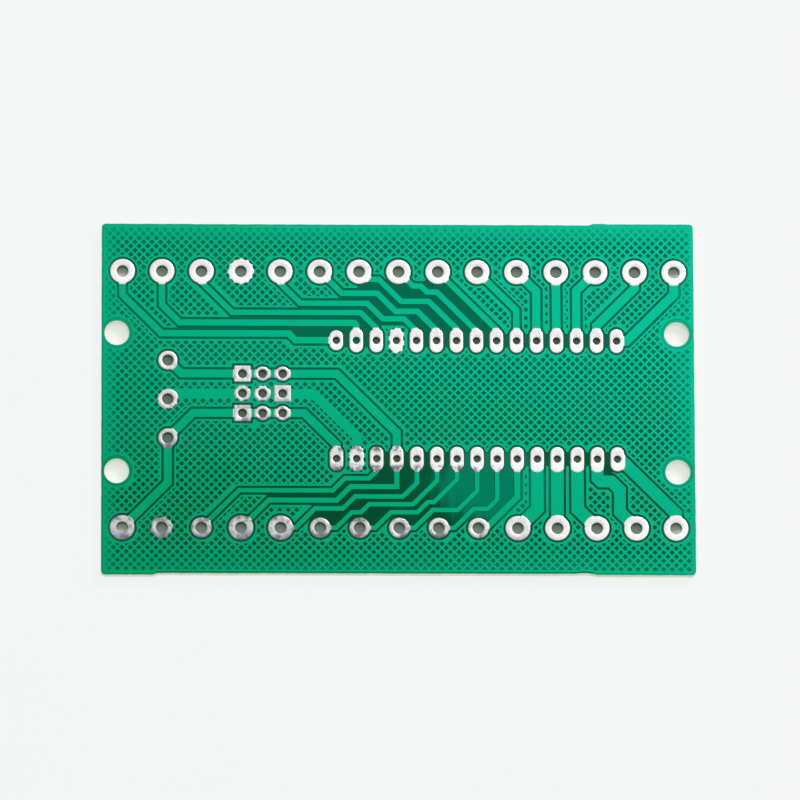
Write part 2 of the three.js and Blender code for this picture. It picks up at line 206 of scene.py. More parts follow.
def nearest_on_run(start, end, point):
    """The nearest point of each straight run from start to end."""
    along = end - start
    length = np.maximum((along**2).sum(axis=-1), 1e-12)
    share = ((point - start) * along).sum(axis=-1) / length
    return start + np.clip(share, 0, 1)[..., None] * along


def distance_to(loop, point):
    nearest = nearest_on_run(loop, np.roll(loop, -1, axis=0), point)
    return float(np.linalg.norm(nearest - point, axis=1).min())


def nearest_loop(loops, point):
    """The outline whose corners lie round a point."""
    return min(loops, key=lambda loop: np.linalg.norm(loop.mean(axis=0) - point))


def middle(loop):
    """The centre of an outline's box."""
    return (loop.min(axis=0) + loop.max(axis=0)) / 2


def inside(points, loops):
    """Which points lie in the region that the outlines bound."""
    within = np.zeros(len(points), bool)
    for loop in loops:
        a, b = loop, np.roll(loop, -1, axis=0)
        for chunk in range(0, len(points), 4000):
            p = points[chunk : chunk + 4000]
            y = p[:, 1:2]
            spans = (a[:, 1] > y) != (b[:, 1] > y)
            rise = np.where(b[:, 1] == a[:, 1], 1, b[:, 1] - a[:, 1])
            cross = a[:, 0] + (y - a[:, 1]) * (b[:, 0] - a[:, 0]) / rise
            hits = (spans & (p[:, 0:1] < cross)).sum(axis=1)
            within[chunk : chunk + 4000] ^= hits % 2 == 1
    return within


# ---- overlaying outlines ---------------------------------------------------------------


class Overlay:
    """All outlines of some named layers, triangulated together.

    winding[layer] says how many times that layer's outlines go round each triangle.
    """

    def __init__(self, layers):
        points, edges, owner = [], [], []
        for number, loops in enumerate(layers.values()):
            for loop in loops:
                first = len(points)
                count = len(loop)
                points.extend(Vector(p) for p in loop)
                edges.extend((first + i, first + (i + 1) % count) for i in range(count))
                owner.extend([number] * count)
        points.extend(Vector((x, y)) for x in (-FAR, FAR) for y in (-FAR, FAR))
        found = geometry.delaunay_2d_cdt(points, edges, [], 0, 1e-4)
        vectors, out_edges, triangles, _, edge_sources, _ = found
        self.points = np.array([v[:] for v in vectors], float)
        self.triangles = np.array(triangles, int)
        jump = self._jumps(points, edges, owner, out_edges, edge_sources)
        winding = self._spread(jump, len(layers))
        self.winding = {name: winding[:, i] for i, name in enumerate(layers)}

    def _jumps(self, points, edges, owner, out_edges, edge_sources):
        """For each directed output edge, how much each layer winds more on its left."""
        jump = {}
        for (a, b), sources in zip(out_edges, edge_sources):
            along = self.points[b] - self.points[a]
            for source in sources:
                p, q = edges[source]
                given = points[q] - points[p]
                sign = 1 if along[0] * given.x + along[1] * given.y > 0 else -1
                jump.setdefault((a, b), []).append((owner[source], sign))
                jump.setdefault((b, a), []).append((owner[source], -sign))
        return jump

    def _spread(self, jump, layer_count):
        """Windings passed on from triangle to triangle, through the longest edges first."""
        triangles = self.triangles.tolist()
        side = {}
        for number, (a, b, c) in enumerate(triangles):
            side[a, b] = side[b, c] = side[c, a] = number
        ends = self.points[self.triangles]
        lengths = np.linalg.norm(np.roll(ends, -1, axis=1) - ends, axis=2).tolist()
        outermost = np.abs(ends).max(axis=(1, 2)) > FAR - NEAR
        start = int(np.nonzero(outermost)[0][0])
        winding = np.zeros((len(triangles), layer_count), int)
        seen = np.zeros(len(triangles), bool)
        queue = [(0.0, start, start, [])]
        while queue:
            _, here, origin, steps = heapq.heappop(queue)
            if seen[here]:
                continue
            seen[here] = True
            winding[here] = winding[origin]
            for layer, sign in steps:
                winding[here, layer] -= sign
            a, b, c = triangles[here]
            for edge, length in zip(((a, b), (b, c), (c, a)), lengths[here]):
                other = side.get((edge[1], edge[0]))
                if other is not None and not seen[other]:
                    heapq.heappush(queue, (-length, other, here, jump.get(edge, [])))
        return winding

    def within(self, layer, but_not):
        """Which triangles lie inside one layer and outside another."""
        return (self.winding[layer] > 0) & (self.winding[but_not] == 0)

    def border(self, keep):
        """Directed edges round the kept triangles."""
        steps = set()
        for a, b, c in self.triangles[keep].tolist():
            steps.update(((a, b), (b, c), (c, a)))
        return sorted(step for step in steps if (step[1], step[0]) not in steps)

    def outlines(self, keep):
        found = [corners(self.points[path]) for path in chained(self.border(keep))]
        return [loop for loop in found if len(loop) > 2]


# ---- pads ------------------------------------------------------------------------------


def square_half(radius):
    """Half the side of the square that has the area of a circle."""
    return math.sqrt(math.pi) / 2 * radius


def squared(half, angle):
    """How far the outline of a square with slightly rounded corners lies from its centre."""
    c, s = np.abs(np.cos(angle)), np.abs(np.sin(angle))
    return half * (c**SQUARENESS + s**SQUARENESS) ** (-1 / SQUARENESS)


class Pad:
    """A plated pad, read from its outer outline and its hole in the CAD."""

    def __init__(self, outer, hole):
        self.centre = middle(hole)
        self.hole = math.sqrt(abs(area(hole)) / math.pi)
        half = (outer.max(axis=0) - outer.min(axis=0)) / 2
        self.square = len(outer) == 4
        self.pullback = PULLBACK
        self.straight = 0.0
        self.half = half[0] if self.square else math.sqrt(area(outer) / math.pi)
        if len(outer) == 8:
            self.half = half[0]
            shoulder = np.abs(outer[:, 0] - self.centre[0]) > self.half - NEAR
            self.straight = np.abs(outer[shoulder, 1] - self.centre[1]).max()

    def radius(self, angle, grow=0.0):
        """How far the outline lies from the centre in each direction."""
        half = self.half + grow
        if self.square:
            return squared(half, angle)
        c, s = np.abs(np.cos(angle)), np.abs(np.sin(angle))
        side = half / np.maximum(c, 1e-9)
        end = self.straight * s + np.sqrt(np.maximum(half**2 - (self.straight * c) ** 2, 0))
        return np.where(side * s <= self.straight, side, end)

    def angles(self):
        longest = self.half + self.straight
        count = 8 * math.ceil(2 * math.pi * longest / ARC_STEP / 8)
        return np.arange(count) * 2 * math.pi / count

    def outline(self, grow=0.0):
        return self.at(self.angles(), self.radius(self.angles(), grow))

    def at(self, angle, radius):
        direction = np.stack([np.cos(angle), np.sin(angle)], axis=-1)
        return self.centre + np.asarray(radius)[..., None] * direction


def read_pads(node):
    loops = outlines_at(node, TOP)
    outers = [loop for loop in loops if area(loop) > 0]
    holes = [loop for loop in loops if area(loop) < 0]
    return [Pad(nearest_loop(outers, middle(hole)), hole) for hole in holes], outers


class Net:
    """One conductor: its pads, and the outlines of the copper that joins them."""

    def __init__(self, node):
        self.node = node
        self.pads, self.flat_pads = read_pads(node)
        self.tracks = outlines_at(node, COPPER_TOP)
        back = [loop for loop in outlines_at(node, BOARD_BOTTOM) if area(loop) > 0]
        for pad in self.pads:
            outer = nearest_loop(back, pad.centre)
            pad.back_half = math.sqrt(area(outer) / math.pi)
            pad.back_square = len(outer) == 4

    def joints(self):
        """Wedges that carry each track from the flat CAD pad to the round one's centre."""
        flats = [nearest_loop(self.flat_pads, pad.centre) for pad in self.pads]
        wedges = []
        for loop in self.tracks:
            for a, b in zip(loop, np.roll(loop, -1, axis=0)):
                for pad, flat in zip(self.pads, flats):
                    if distance_to(flat, (a + b) / 2) < NEAR:
                        wedge = np.array([a, b, pad.centre])
                        wedges.append(wedge if area(wedge) > 0 else wedge[::-1])
        return wedges


NETS = {name: Net(name) for name in CONDUCTORS}
GROUND = NETS["ground_plane"]
TRACED = [net for net in NETS.values() if net is not GROUND]
PADS = [pad for net in NETS.values() for pad in net.pads]
for ground_pad in GROUND.pads:
    if ground_pad.square:
        ground_pad.pullback = SQUARE_PULLBACK


def split_board():
    """The laminate's outer edge, and its mounting holes as (centre, radius)."""
    loops = outlines_at("fr4_laminate", BOARD_TOP)
    edge = max(loops, key=area)
    mounts = []
    for loop in loops:
        centre = middle(loop)
        plated = any(np.linalg.norm(pad.centre - centre) < NEAR for pad in PADS)
        if loop is not edge and not plated:
            mounts.append((centre, math.sqrt(abs(area(loop)) / math.pi)))
    return edge, mounts


BOARD_EDGE, MOUNTS = split_board()
(LEFT, LOWER), (RIGHT, UPPER) = BOARD_EDGE.min(axis=0), BOARD_EDGE.max(axis=0)


def roughened(loop):
    """A sawn edge: closer points, each moved in or out much as its neighbours are."""
    rng = np.random.default_rng(7)
    points = []
    for a, b in zip(loop, np.roll(loop, -1, axis=0)):
        count = max(1, round(float(np.linalg.norm(b - a)) / EDGE_STEP))
        points.extend(a + (b - a) * i / count for i in range(count))
    points = np.array(points)
    noise = rng.normal(0, 1, len(points))
    noise = noise + 0.7 * np.roll(noise, 1) + 0.7 * np.roll(noise, -1)
    normal = turned_left(unit(np.roll(points, -1, axis=0) - np.roll(points, 1, axis=0)))
    return points + normal * np.clip(noise * 0.4, -1, 1)[:, None] * EDGE_ROUGHNESS


SAWN_EDGE = roughened(BOARD_EDGE)

# ---- copper pattern --------------------------------------------------------------------


def copper_pattern():
    """Outlines of all front copper, and of the ground plane alone, before the hatch."""
    keep_away = [pad.outline(CLEARANCE) for net in TRACED for pad in net.pads]
    keep_away += [ring(c, r + MOUNT_KEEPOUT, MOUNT_POINTS) for c, r in MOUNTS]
    metal = [loop for net in TRACED for loop in net.tracks + net.joints()]
    metal += [pad.outline() for net in TRACED for pad in net.pads]
    overlay = Overlay(
        {
            "plane": GROUND.tracks + GROUND.flat_pads,
            "away": keep_away,
            "metal": metal,
        }
    )
    plane = overlay.within("plane", but_not="away")
    return overlay.outlines(plane | (overlay.winding["metal"] > 0)), overlay.outlines(plane)


COPPER, PLANE = copper_pattern()

# ---- hatch -----------------------------------------------------------------------------


def diagonals(p):
    """Places measured along the two diagonals; done twice, it gives them back."""
    return np.stack([p[..., 0] + p[..., 1], p[..., 0] - p[..., 1]], axis=-1) / math.sqrt(2)


def on_hatch_line(points):
    offset = (diagonals(points) - HATCH_START) / HATCH_PITCH
    away = np.abs(offset - np.round(offset)) * HATCH_PITCH
    return (away < HATCH_LINE / 2).any(axis=-1)


def clipped(polygon, point, normal):
    """The part of a convex polygon on the far side of a line through a point."""
    depth = (polygon - point) @ normal
    kept = []
    for i in range(len(polygon)):
        j = (i + 1) % len(polygon)
        if depth[i] >= 0:
            kept.append(polygon[i])
        if (depth[i] >= 0) != (depth[j] >= 0):
            share = depth[i] / (depth[i] - depth[j])
            kept.append(polygon[i] + share * (polygon[j] - polygon[i]))
    return np.array(kept)


def ground_bands():
    """The solid track inside the plane: where its runs start, and where they end."""

    def pad_near(x, y):
        return min(GROUND.pads, key=lambda p: np.linalg.norm(p.centre - (x, y))).centre

    power = pad_near(-30, 0)
    header = pad_near(-17, 1)
    socket = pad_near(-5, -8)
    start = np.array([power[0], header[1]])
    bend = np.array([GROUND_BEND, header[1]])
    drop = np.array([socket[0], bend[1] - (socket[0] - bend[0])])
    return np.array([start, bend, drop]), np.array([bend, drop, socket])


def border_widths(loop):
    """The unbroken border along each side of an outline: thinner round the mounts."""
    middles = (loop + np.roll(loop, -1, axis=0)) / 2
    widths = np.full(len(loop), HATCH_BORDER)
    for centre, radius in MOUNTS:
        away = np.linalg.norm(middles - centre, axis=1)
        widths[away < radius + MOUNT_KEEPOUT + NEAR] = MOUNT_BORDER
    return widths


def rounded(cell):
    """A small convex outline with its corners cut."""
    before = np.roll(cell, 1, axis=0) - cell
    after = np.roll(cell, -1, axis=0) - cell
    points = []
    for corner, back, on in zip(cell, before, after):
        for way in (back, on):
            length = np.linalg.norm(way)
            points.append(corner + way * min(CELL_CORNER / max(length, 1e-9), 0.3))
    return np.array(points)


def wide_enough(cell):
    """Whether a convex outline is at least as wide as an etched window can be."""
    if len(cell) < 3:
        return False
    across = turned_left(unit(np.roll(cell, -1, axis=0) - cell))
    widths = np.ptp(cell @ across.T, axis=0)
    return widths.min() > NARROWEST_CELL


def cell_centres():
    count = int(HATCH_REACH / HATCH_PITCH)
    steps = (np.arange(-count, count) + 0.5) * HATCH_PITCH
    grid = np.stack(np.meshgrid(steps, steps, indexing="ij"), axis=-1).reshape(-1, 2)
    centres = diagonals(grid + HATCH_START)
    centres = centres[(np.abs(centres) < (RIGHT, UPPER)).all(axis=1)]
    return centres[inside(centres, PLANE)]


def hatch_cells():
    """The windows in the ground plane, each cut back from the plane's edges."""
    band_starts, band_ends = ground_bands()
    starts = np.concatenate(PLANE + [band_starts])
    ends = np.concatenate([np.roll(loop, -1, axis=0) for loop in PLANE] + [band_ends])
    borders = [border_widths(loop) for loop in PLANE]
    borders = np.concatenate(borders + [np.full(len(band_starts), GROUND_BAND / 2)])
    half = (HATCH_PITCH - HATCH_LINE) / 2
    square = diagonals(half * np.array([[1.0, 1], [1, -1], [-1, -1], [-1, 1]]))
    if area(square) < 0:
        square = square[::-1]
    cells = []
    for centre in cell_centres():
        nearest = nearest_on_run(starts, ends, centre)
        gap = np.linalg.norm(nearest - centre, axis=1)
        cell = centre + square
        for i in np.nonzero(gap < half * math.sqrt(2) + borders)[0]:
            if not wide_enough(cell):
                break
            normal = (centre - nearest[i]) / max(gap[i], 1e-9)
            cell = clipped(cell, nearest[i] + borders[i] * normal, normal)
        if wide_enough(cell):
            cells.append(rounded(cell))
    return cells


CELLS = hatch_cells()

# ---- meshes ----------------------------------------------------------------------------


class Builder:
    """Collects vertices and faces in millimetres, and makes one object of them."""

    def __init__(self):
        self.vertices = []
        self.faces = []
        self.count = 0

    def add(self, vertices, faces):
        self.vertices.append(np.asarray(vertices, float))
        self.faces.extend([tuple(self.count + i for i in face) for face in faces])
        self.count += len(vertices)

    def flat(self, points, triangles, height, up=True):
        order = triangles if up else triangles[:, ::-1]
        self.add(at_height(points, height), order.tolist())

    def wall(self, loop, rows):
        """Bands round a loop; rows are (outward shift, height) from the top down."""
        count = len(loop)
        levels = [at_height(shifted(loop, -out), height) for out, height in rows]
        faces = []
        for row in range(len(rows) - 1):
            a, b = row * count, (row + 1) * count
            for i in range(count):
                j = (i + 1) % count
                faces.append((a + i, b + i, b + j, a + j))
        self.add(np.concatenate(levels), faces)

    def level_faces(self, overlay, keep, top, bottom):
        """The kept triangles twice: facing up at the top, and down at the bottom."""
        points, triangles = compacted(overlay.points, overlay.triangles[keep])
        self.flat(points, triangles, top)
        self.flat(points, triangles, bottom, up=False)

    def plate(self, overlay, keep, top, bottom):
        self.level_faces(overlay, keep, top, bottom)
        for path in chained(overlay.border(keep)):
            self.wall(overlay.points[path], [(0, top), (0, bottom)])

    def finish(self, name, material, node):
        mesh = bpy.data.meshes.new(name)
        mesh.from_pydata((np.concatenate(self.vertices) * MM).tolist(), [], self.faces)
        bm = bmesh.new()
        bm.from_mesh(mesh)
        bmesh.ops.remove_doubles(bm, verts=bm.verts, dist=2e-7)
        bmesh.ops.dissolve_degenerate(bm, edges=bm.edges, dist=1e-8)
        bm.to_mesh(mesh)
        bm.free()
        mesh.materials.append(material)
        made = bpy.data.objects.new(name, mesh)
        bpy.context.scene.collection.objects.link(made)
        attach(made, "root")
        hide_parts(node)
        return made


def compacted(points, triangles):
    """Only the points that the triangles use, and the triangles renumbered."""
    used, fresh = np.unique(triangles, return_inverse=True)
    return points[used], fresh.reshape(triangles.shape)


# ---- node materials --------------------------------------------------------------------


class Graph:
    """A material's node tree, built up by naming each node's inputs."""

    def __init__(self, name):
        self.material = bpy.data.materials.new(name)
        self.material.use_nodes = True
        self.tree = self.material.node_tree
        self.shader = self.tree.nodes["Principled BSDF"]
        place = self.node("ShaderNodeTexCoord").outputs["Object"]
        self.place = self.vectors("MULTIPLY", place, [1 / MM] * 3).outputs["Vector"]

    def node(self, kind, settings=None, **inputs):
        made = self.tree.nodes.new(kind)
        for key, value in (settings or {}).items():
            setattr(made, key, value)
        for key, value in inputs.items():
            self.feed(made.inputs[key.replace("_", " ")], value)
        return made

    def feed(self, socket, value):
        if isinstance(value, bpy.types.NodeSocket):
            self.tree.links.new(value, socket)
        else:
            socket.default_value = value

    def vectors(self, operation, a, b):
        made = self.node("ShaderNodeVectorMath", {"operation": operation})
        self.feed(made.inputs[0], a)
        self.feed(made.inputs[1], b)
        return made

    def math(self, operation, first, *others):
        """The operation worked through the values, two at a time."""
        made = self.node("ShaderNodeMath", {"operation": operation})
        self.feed(made.inputs[0], first)
        if others:
            self.feed(made.inputs[1], others[0])
        if len(others) > 1:
            return self.math(operation, made.outputs[0], *others[1:])
        return made.outputs[0]

    def times(self, *values):
        return self.math("MULTIPLY", *values)

    def plus(self, *values):
        return self.math("ADD", *values)

    def highest(self, *values):
        return self.math("MAXIMUM", *values)

    def distance_from(self, point):
        return self.vectors("DISTANCE", self.place, point).outputs["Value"]

    def noise(self, scale, detail=3.0, roughness=0.5, at=None):
        made = self.node(
            "ShaderNodeTexNoise",
            Vector=at or self.place,
            Scale=scale,
            Detail=detail,
            Roughness=roughness,
        )
        return made.outputs[0]

    def axes(self, at=None):
        made = self.node("ShaderNodeSeparateXYZ", Vector=at or self.place)
        return made.outputs[0], made.outputs[1], made.outputs[2]

    def ramp(self, value, low, high, to_low=0.0, to_high=1.0, smooth=True):
        made = self.node(
            "ShaderNodeMapRange",
            {"interpolation_type": "SMOOTHSTEP" if smooth else "LINEAR"},
            Value=value,
            From_Min=low,
            From_Max=high,
            To_Min=to_low,
            To_Max=to_high,
        )
        return made.outputs[0]

    def mix(self, factor, a, b):
        made = self.node("ShaderNodeMix", {"data_type": "RGBA"})
        self.feed(made.inputs[0], factor)
        self.feed(made.inputs[6], a)
        self.feed(made.inputs[7], b)
        return made.outputs[2]

    def attribute(self, name):
        made = self.node("ShaderNodeAttribute", {"attribute_name": name})
        return made.outputs["Fac"]

    def bump(self, height, depth, strength):
        made = self.node("ShaderNodeBump", Height=height, Distance=depth, Strength=strength)
        self.feed(self.shader.inputs["Normal"], made.outputs[0])

    def set(self, **inputs):
        for key, value in inputs.items():
            self.feed(self.shader.inputs[key.replace("_", " ")], value)
        return self.material


def colour(red, green, blue):
    """A display colour, 0 to 255, as the linear values that nodes use."""

    def linear(c):
        c = c / 255
        return c / 12.92 if c <= 0.04045 else ((c + 0.055) / 1.055) ** 2.4

    return (linear(red), linear(green), linear(blue), 1.0)


def painted_edge_light(g):
    """Painted light that comes in through the sawn edges and the mounting holes, 0 well inside.

    It shows from a few millimetres in, and strongly on the rim itself.
    """
    x, y, _ = g.axes()
    fades = [
        g.ramp(x, LEFT + 2.7, LEFT - 0.3, 0.0, 0.78),
        g.ramp(x, RIGHT - 4.0, RIGHT - 0.2, 0.0, 0.32),
        g.ramp(x, RIGHT - 0.5, RIGHT - 0.2, 0.0, 0.8),
        g.ramp(y, UPPER - 3.2, UPPER + 0.2, 0.0, 0.8),
        g.ramp(y, LOWER + 5.0, LOWER, 0.0, 0.3),
        g.ramp(y, LOWER + 0.5, LOWER + 0.2, 0.0, 0.8),
    ]
    for centre, radius in MOUNTS:
        away = g.distance_from((*centre, TOP))
        fades.append(g.ramp(away, radius + 1.2, radius, 0.0, 0.7))
    return g.highest(*fades)


def hazy_patch(g):
    """The part of the open laminate that is paler and bluer, with faint upright smears."""
    x, y, _ = g.axes()
    centre, reach = (12.5, -11.0), (9.0, 6.0)
    across = g.times(g.plus(x, -centre[0]), 1 / reach[0])
    up = g.times(g.plus(y, -centre[1]), 1 / reach[1])
    away = g.plus(g.times(across, across), g.times(up, up))
    stretched = g.vectors("MULTIPLY", g.place, (1.0, 0.08, 0.0)).outputs["Vector"]
    smear = g.noise(1.1, 3.0, 0.6, at=stretched)
    return g.ramp(g.plus(away, g.times(smear, 0.9)), 1.55, 0.75)


def front_mask_material():
    """Bright over copper, dark over laminate and darkest where it dips beside copper."""
    g = Graph("front_mask_green")
    x, y, _ = g.axes()
    # The light falls off from the upper right corner to the lower left one.
    lit = g.plus(g.times(x, 0.0096), g.ramp(y, -18.0, 12.0, -0.24, 0.24))
    lit = g.ramp(lit, -0.48, 0.52, smooth=False)
    patch = g.ramp(g.noise(0.12, 2.0), 0.35, 0.65)
    level = g.attribute("over_copper")
    over_copper = g.mix(lit, colour(0, 163, 110), colour(3, 200, 156))
    over_copper = g.mix(g.times(patch, 0.15), over_copper, colour(0, 186, 140))
    # Painted light: the film over bare laminate is darker towards the bottom, lighter towards
    # the top.
    over_board = g.mix(g.ramp(y, -15.0, 6.0), colour(0, 70, 38), colour(0, 106, 78))
    over_board = g.mix(g.times(patch, 0.2), over_board, colour(0, 98, 66))
    over_board = g.mix(hazy_patch(g), over_board, colour(0, 126, 96))
    beside = g.mix(lit, colour(0, 60, 34), colour(0, 88, 64))
    low = g.mix(g.ramp(level, 0.0, 0.5), over_board, beside)
    # Painted light: the film over bare laminate turns bright near the edges and the mounting
    # holes.
    low = g.mix(painted_edge_light(g), low, g.mix(lit, colour(0, 164, 118), colour(14, 202, 160)))
    tone = g.mix(g.ramp(level, 0.7, 1.0), low, over_copper)
    grain = g.noise(9.0, 4.0, 0.6)
    tone = g.mix(g.ramp(grain, 0.3, 0.7, 0.0, 0.1), tone, colour(0, 150, 108))
    g.bump(g.noise(6.0, 3.0), 0.00002, 0.25)
    return g.set(
        Base_Color=tone,
        Roughness=g.ramp(g.noise(1.4, 3.0), 0.3, 0.7, 0.24, 0.36),
        Specular_IOR_Level=0.02,
    )


def back_mask_material():
    g = Graph("back_mask_green")
    patch = g.ramp(g.noise(0.1, 3.0), 0.3, 0.7)
    tone = g.mix(patch, colour(0, 96, 68), colour(0, 108, 78))
    grain = g.noise(12.0, 4.0, 0.6)
    tone = g.mix(g.ramp(grain, 0.3, 0.7, 0.0, 0.15), tone, colour(6, 86, 60))
    g.bump(g.noise(5.0, 3.0), 0.00002, 0.3)
    return g.set(
        Base_Color=tone,
        Roughness=g.ramp(g.noise(1.4, 3.0), 0.3, 0.7, 0.22, 0.36),
        Specular_IOR_Level=0.25,
    )


def tin_dark_blotches(g):
    """Dark blotches at the ends of the pads towards the lower left of the board."""
    x, y, _ = g.axes()
    along = g.attribute("pad_height")
    low_end = g.ramp(along, -0.3, -0.75)
    high_end = g.times(g.ramp(along, 0.4, 0.8), g.ramp(x, 3.0, -1.0))
    blotch = g.ramp(g.noise(1.1, 3.0, 0.6), 0.42, 0.6)
    there = g.times(g.ramp(y, 3.0, -5.0), g.ramp(x, 18.0, 6.0))
    return g.times(g.highest(low_end, high_end), blotch, there)


def tin_painted_shade_and_grey(g):
    """0 for white tin, 1 where it is greyer: painted shade and dark reflection towards the
    lower left, and greyer round the header.
    """
    x, y, _ = g.axes()
    # Painted shade and dark reflection, growing towards the lower left of the board.
    side = g.plus(g.times(x, -0.013), g.times(y, -0.03))
    grey_round_header = g.ramp(g.distance_from((-21.0, 1.0, TOP)), 12.0, 6.0, 0.0, 0.4)
    return g.highest(g.ramp(side, 0.1, 0.75), grey_round_header)


def tin_material():
    """Levelled tin: nearly white, with painted shade and reflection that make it greyer, bluer
    and pitted towards the lower left, and greyer round the header.
    """
    g = Graph("hot_air_levelled_tin")
    along = g.attribute("pad_height")
    shade_and_grey = tin_painted_shade_and_grey(g)
    # Painted shading on each pad: paler towards its lower end than its upper one.
    fresh = g.mix(g.ramp(along, 0.7, -0.5), colour(228, 229, 228), colour(243, 243, 242))
    tone = g.mix(shade_and_grey, fresh, colour(203, 204, 204))
    # Painted reflection: a bluish arc over the lower part of each pad, where it is shaded.
    blue_reflection_arc = g.times(g.ramp(along, 0.1, -0.6), g.ramp(g.noise(0.7, 2.0), 0.38, 0.56))
    tone = g.mix(g.times(blue_reflection_arc, shade_and_grey), tone, colour(150, 162, 182))
    # Grey blotches, shown only where the tin is painted shaded or greyer.
    smear = g.ramp(g.noise(1.3, 3.0, 0.6), 0.48, 0.68)
    tone = g.mix(g.times(smear, shade_and_grey), tone, colour(148, 150, 158))
    tone = g.mix(tin_dark_blotches(g), tone, colour(112, 116, 126))
    # Pits, likewise shown only where the tin is painted shaded or greyer.
    pit = g.ramp(g.noise(3.2, 4.0, 0.65), 0.60, 0.68)
    tone = g.mix(g.times(pit, shade_and_grey), tone, colour(130, 130, 132))
    # Painted shade on the outer edge of each pad's dome, where the tin is shaded or greyer.
    rim_shade = g.ramp(g.attribute("pad_reach"), 0.86, 1.0)
    tone = g.mix(g.times(rim_shade, shade_and_grey, 0.5), tone, colour(130, 130, 128))
    barrel = g.attribute("barrel")
    # Painted shade: the barrel's wall inside the hole is a dark green-grey.
    tone = g.mix(barrel, tone, colour(112, 132, 110))
    g.bump(g.noise(2.6, 4.0, 0.55), 0.00006, 0.35)
    return g.set(
        Base_Color=tone,
        Metallic=g.ramp(barrel, 0.0, 1.0, 0.9, 0.2),
        Roughness=g.ramp(g.noise(2.0, 4.0), 0.3, 0.7, 0.28, 0.44),
    )


SAWN_PAINTED_GLOW = 0.2  # painted glow: glass-epoxy lets light through, so its sawn edges are made to give off light and look bright
THREAD_PITCH = 0.55  # mm, of the glass cloth
PLY_PITCH = 0.2  # mm, of its layers


def waves(g, place, pitch):
    return g.math("SINE", g.times(place, 2 * math.pi / pitch))


def laminate_material():
    g = Graph("woven_glass_epoxy")
    x, y, z = g.axes()
    weave = g.times(waves(g, x, THREAD_PITCH), waves(g, y, THREAD_PITCH))
    weave = g.ramp(weave, -1.0, 1.0)
    ply = g.plus(waves(g, z, PLY_PITCH), g.times(g.noise(3.0), 1.4))
    ply = g.ramp(ply, -0.6, 1.6)
    # Dark on top, where it shows in the rings round the pads: partly the colour of glass-epoxy
    # over the back mask, partly painted shade.
    tone = g.mix(weave, colour(34, 66, 38), colour(46, 80, 46))
    normal_z = g.axes(g.node("ShaderNodeNewGeometry").outputs["Normal"])[2]
    flank = g.ramp(g.math("ABSOLUTE", normal_z), 0.9, 0.4)
    side_tone = g.mix(ply, colour(216, 224, 196), colour(234, 238, 218))
    tone = g.mix(flank, tone, side_tone)
    dust = g.ramp(g.noise(14.0, 4.0, 0.7), 0.4, 0.7, 0.0, 0.3)
    tone = g.mix(g.times(dust, flank), tone, colour(176, 186, 142))
    g.bump(g.plus(ply, g.noise(10.0, 3.0)), 0.00003, 0.6)
    return g.set(
        Base_Color=tone,
        Roughness=0.72,
        Specular_IOR_Level=0.3,
        # The sawn edges give off a painted glow.
        Emission_Color=tone,
        Emission_Strength=g.times(flank, SAWN_PAINTED_GLOW),
    )


MASK_GREEN = front_mask_material()
BACK_GREEN = back_mask_material()
TIN = tin_material()
GLASS_EPOXY = laminate_material()

# ---- solder mask -----------------------------------------------------------------------


def film_layers(openings):
    """Where a mask lies: on the board, but not over the pads and the mounting holes."""
    mounts = [ring(c, r + MASK_INSET, MOUNT_POINTS) for c, r in MOUNTS]
    return {"board": [shifted(SAWN_EDGE, MASK_INSET)], "open": openings + mounts}


def front_mask():
    """A film that lies high over copper and low over bare laminate."""
    raised = COPPER + [cell[::-1] for cell in CELLS]
    layers = film_layers([pad.outline(pad.pullback) for pad in PADS])
    layers["high"] = [shifted(loop, SLOPE_IN) for loop in raised]
    layers["low"] = [shifted(loop, -SLOPE_OUT) for loop in raised]
    overlay = Overlay(layers)
    film = overlay.within("board", but_not="open")
    points = np.column_stack([overlay.points, film_heights(overlay, film)])
    builder = Builder()
    sheet, triangles = compacted(points, overlay.triangles[film])
    builder.add(sheet, triangles.tolist())
    rims = chained(overlay.border(film))
    for path in rims:
        add_skirt(builder, points[path])
    under = Overlay({"film": [overlay.points[path] for path in rims]})
    sheet, triangles = compacted(under.points, under.triangles[under.winding["film"] > 0])
    builder.flat(sheet, triangles, BOARD_TOP, up=False)
    add_plug(builder)
    made = builder.finish("front_solder_mask", MASK_GREEN, "solder_mask_front")
    mark_level(made.data)


def film_heights(overlay, film):
    """The film's upper face: up on the copper, down beside it, and halfway between."""
    high = film & (overlay.winding["high"] > 0)
    low = film & (overlay.winding["low"] <= 0)
    level = np.full(len(overlay.points), 0.5)
    level[np.unique(overlay.triangles[low])] = 0.0
    level[np.unique(overlay.triangles[high])] = 1.0
    return MASK_LOW + level * (TOP - MASK_LOW)


def add_skirt(builder, upper):
    """A wall from a rim of the film down to the laminate."""
    count = len(upper)
    lower = at_height(upper[:, :2], BOARD_TOP)
    faces = [(i, count + i, count + (i + 1) % count, (i + 1) % count) for i in range(count)]
    builder.add(np.concatenate([upper, lower]), faces)


def add_plug(builder):
    """Mask that has run into the second upper socket hole and closed it."""
    pad = min(NETS["signal_rx"].pads, key=lambda pad: pad.hole)
    count = HOLE_POINTS

    def level_ring(share, height):
        return at_height(ring(pad.centre, pad.hole * share, count), height)

    under = TOP - PLUG_DEPTH
    parts = [level_ring(share, TOP - dip) for share, dip in PLUG_DISH]
    parts += [[[*pad.centre, TOP - PLUG_DISH[-1][1] - 0.01]]]
    parts += [level_ring(PLUG_DISH[0][0], under), [[*pad.centre, under]]]
    hub = 3 * count
    lower = hub + 1
    faces = []
    for i in range(count):
        j = (i + 1) % count
        faces += [(i, j, count + j, count + i)]
        faces += [(count + i, count + j, 2 * count + j, 2 * count + i)]
        faces += [(2 * count + i, 2 * count + j, hub)]
        faces += [(j, i, lower + i, lower + j), (lower + j, lower + i, lower + count)]
    builder.add(np.concatenate(parts), faces)


